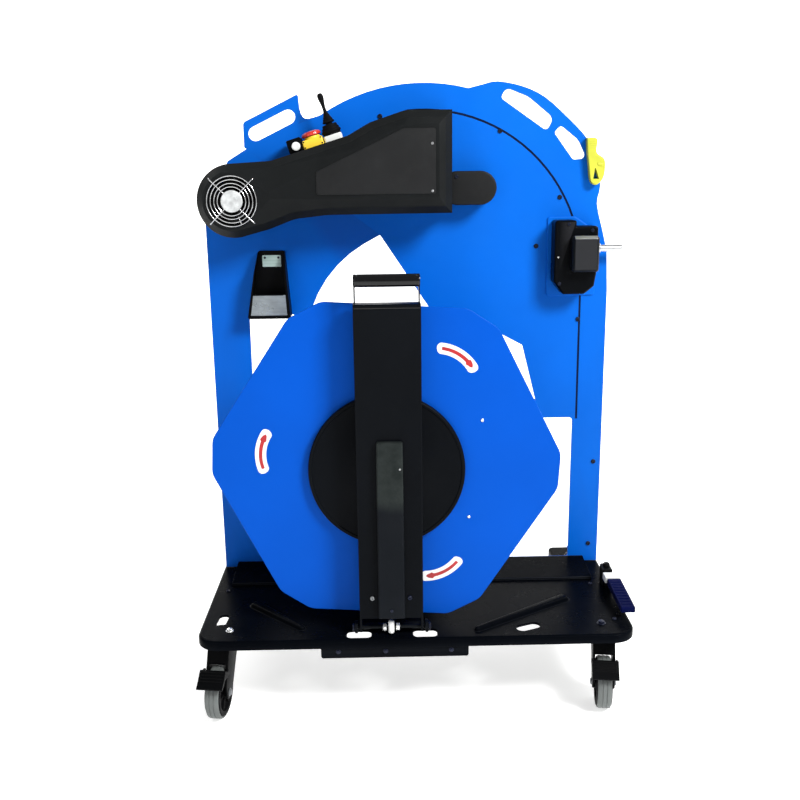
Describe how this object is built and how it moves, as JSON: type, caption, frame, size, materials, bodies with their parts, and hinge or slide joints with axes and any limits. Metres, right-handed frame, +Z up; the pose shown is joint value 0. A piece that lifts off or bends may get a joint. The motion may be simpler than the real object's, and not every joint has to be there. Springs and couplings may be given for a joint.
{
  "type": "mobile strapping machine",
  "caption": "Upright arch housing on a wheeled base tray, with a motor drive unit, a fold-down strap coil holder, joystick, stop button, crank box and swivel casters.",
  "frame": {"origin": "centre of the overall box at floor level", "axes": "+Z up, -Y towards the operator side with the coil holder, +X to the operator's right"},
  "size_m": [0.8585, 0.5534, 1.198],
  "materials": {
    "base": "gloss black powder coat",
    "blue": "satin blue powder coat",
    "rear": "satin blue powder coat",
    "arm": "gloss black powder coat",
    "channel": "moulded",
    "lance": "moulded links",
    "cover": "fine-grained moulding",
    "guard": "polished wire",
    "fan": "moulded",
    "motor": "cast",
    "battery": "moulded",
    "switch": "moulded",
    "yellow": "moulded",
    "red": "moulded",
    "white": "moulded",
    "rubber": "moulded",
    "pocket": "satin black",
    "steel": "brushed",
    "label": "plain plate",
    "crank": "moulded",
    "clip": "fluorescent moulding",
    "tyre": "non-marking tread",
    "hub": "moulded",
    "caster": "moulded",
    "navy": "moulded tread"
  },
  "bodies": {
    "frame": {"base_tray": "base", "sled_channel": "base", "chain_guide_box": "base", "rib_left": "base", "rib_right": "base", "front_plate": "blue", "rear_plate": "rear", "arch_band": "channel", "battery_pack": "battery", "drive_cover": "cover", "cover_lid": "cover", "cover_tongue": "cover", "fan_guard": "guard", "drive_motor": "motor", "switch_box": "switch", "stop_box": "yellow", "joystick_base": "white", "tool_pocket": "pocket", "pocket_front": "steel", "label_plate": "label", "crank_pad": "blue", "crank_housing": "crank", "crank_cover": "crank", "strap_clip": "clip", "hinge_mount": "arm", "pedal_mount": "caster"},
    "lance": {"chain_lance": "lance"},
    "sprocket": {"drive_sprocket": "steel"},
    "fan": {"fan_rotor": "fan"},
    "push_button": {"push_button": "white"},
    "stop_button": {"stop_button": "red"},
    "joystick": {"joystick": "rubber"},
    "crank_shaft": {"crank_shaft": "steel"},
    "holder": {"holder_arm": "arm", "hinge_pin": "steel", "pull_handle": "arm", "arm_cover_strip": "arm", "hub_plate": "arm", "coil_axle": "steel"},
    "coil": {"coil_disc": "blue", "coil_drum": "channel", "keeper_ring": "blue"},
    "pedal": {"pedal_yoke": "steel", "pedal_pad": "navy"},
    "front_left_swivel": {"front_left_fork": "caster"},
    "front_left_wheel": {"front_left_tyre": "tyre", "front_left_hub": "hub"},
    "front_left_brake": {"front_left_brake": "caster"},
    "front_right_swivel": {"front_right_fork": "caster"},
    "front_right_wheel": {"front_right_tyre": "tyre", "front_right_hub": "hub"},
    "front_right_brake": {"front_right_brake": "caster"},
    "rear_left_swivel": {"rear_left_fork": "caster"},
    "rear_left_wheel": {"rear_left_tyre": "tyre", "rear_left_hub": "hub"},
    "rear_right_swivel": {"rear_right_fork": "caster"},
    "rear_right_wheel": {"rear_right_tyre": "tyre", "rear_right_hub": "hub"}
  },
  "joints": [
    {"name": "lance_feed", "type": "hinge", "parent": "frame", "child": "lance", "pos_m": [0.0217, 0.1527, 0.815], "axis": [0, 1, 0], "range_deg": [-18, 22]},
    {"name": "sprocket_spin", "type": "hinge", "parent": "frame", "child": "sprocket", "pos_m": [-0.0288, 0.1527, 1.103], "axis": [0, 1, 0], "continuous": true},
    {"name": "fan_spin", "type": "hinge", "parent": "frame", "child": "fan", "pos_m": [-0.3533, 0.0207, 0.972], "axis": [0, 1, 0], "continuous": true},
    {"name": "push_button_press", "type": "slide", "parent": "frame", "child": "push_button", "axis": [0, 1, 0], "range_m": [0, 0.004], "stiffness_N_per_m": 400},
    {"name": "stop_button_press", "type": "slide", "parent": "frame", "child": "stop_button", "axis": [0.2924, 0, -0.9563], "range_m": [0, 0.004], "stiffness_N_per_m": 900},
    {"name": "joystick_tilt", "type": "hinge", "parent": "frame", "child": "joystick", "pos_m": [-0.1588, 0.0757, 1.0966], "axis": [0, 1, 0], "range_deg": [-12, 12], "stiffness_Nm_per_rad": 1.2},
    {"name": "crank_spin", "type": "hinge", "parent": "frame", "child": "crank_shaft", "pos_m": [0.3907, 0.0857, 0.866], "axis": [1, 0, 0], "continuous": true},
    {"name": "holder_fold", "type": "hinge", "parent": "frame", "child": "holder", "pos_m": [-0.0573, -0.2193, 0.18], "axis": [1, 0, 0], "range_deg": [0, 85]},
    {"name": "coil_spin", "type": "hinge", "parent": "holder", "child": "coil", "pos_m": [-0.0618, -0.1784, 0.4915], "axis": [0, 1, 0], "continuous": true},
    {"name": "pedal_press", "type": "hinge", "parent": "frame", "child": "pedal", "pos_m": [0.4027, -0.0393, 0.1935], "axis": [1, 0, 0], "range_deg": [0, 5], "stiffness_Nm_per_rad": 12, "springref_deg": -4.58},
    {"name": "front_left_swivel_turn", "type": "hinge", "parent": "frame", "child": "front_left_swivel", "pos_m": [-0.3878, -0.1803, 0.14], "axis": [0, 0, 1], "continuous": true},
    {"name": "front_left_wheel_roll", "type": "hinge", "parent": "front_left_swivel", "child": "front_left_wheel", "pos_m": [-0.39309, -0.21793, 0.05], "axis": [0.9903, -0.1392, 0], "continuous": true},
    {"name": "front_left_brake_press", "type": "hinge", "parent": "front_left_swivel", "child": "front_left_brake", "pos_m": [-0.3942, -0.22585, 0.097], "axis": [0.9903, -0.1392, 0], "range_deg": [0, 8]},
    {"name": "front_right_swivel_turn", "type": "hinge", "parent": "frame", "child": "front_right_swivel", "pos_m": [0.3597, -0.1728, 0.14], "axis": [0, 0, 1], "continuous": true},
    {"name": "front_right_wheel_roll", "type": "hinge", "parent": "front_right_swivel", "child": "front_right_wheel", "pos_m": [0.35415, -0.21039, 0.05], "axis": [0.9893, -0.1461, 0], "continuous": true},
    {"name": "front_right_brake_press", "type": "hinge", "parent": "front_right_swivel", "child": "front_right_brake", "pos_m": [0.35298, -0.21831, 0.097], "axis": [0.9893, -0.1461, 0], "range_deg": [0, 8]},
    {"name": "rear_left_swivel_turn", "type": "hinge", "parent": "frame", "child": "rear_left_swivel", "pos_m": [-0.3703, 0.1487, 0.14], "axis": [0, 0, 1], "continuous": true},
    {"name": "rear_left_wheel_roll", "type": "hinge", "parent": "rear_left_swivel", "child": "rear_left_wheel", "pos_m": [-0.35856, 0.18484, 0.05], "axis": [-0.9511, 0.309, 0], "continuous": true},
    {"name": "rear_right_swivel_turn", "type": "hinge", "parent": "frame", "child": "rear_right_swivel", "pos_m": [0.3507, 0.1487, 0.14], "axis": [0, 0, 1], "continuous": true},
    {"name": "rear_right_wheel_roll", "type": "hinge", "parent": "rear_right_swivel", "child": "rear_right_wheel", "pos_m": [0.34151, 0.18557, 0.05], "axis": [-0.9703, -0.2419, 0], "continuous": true}
  ],
  "couplings": [
    {"joint": "sprocket_spin", "follows": "lance_feed", "ratio": 8.97}
  ]
}
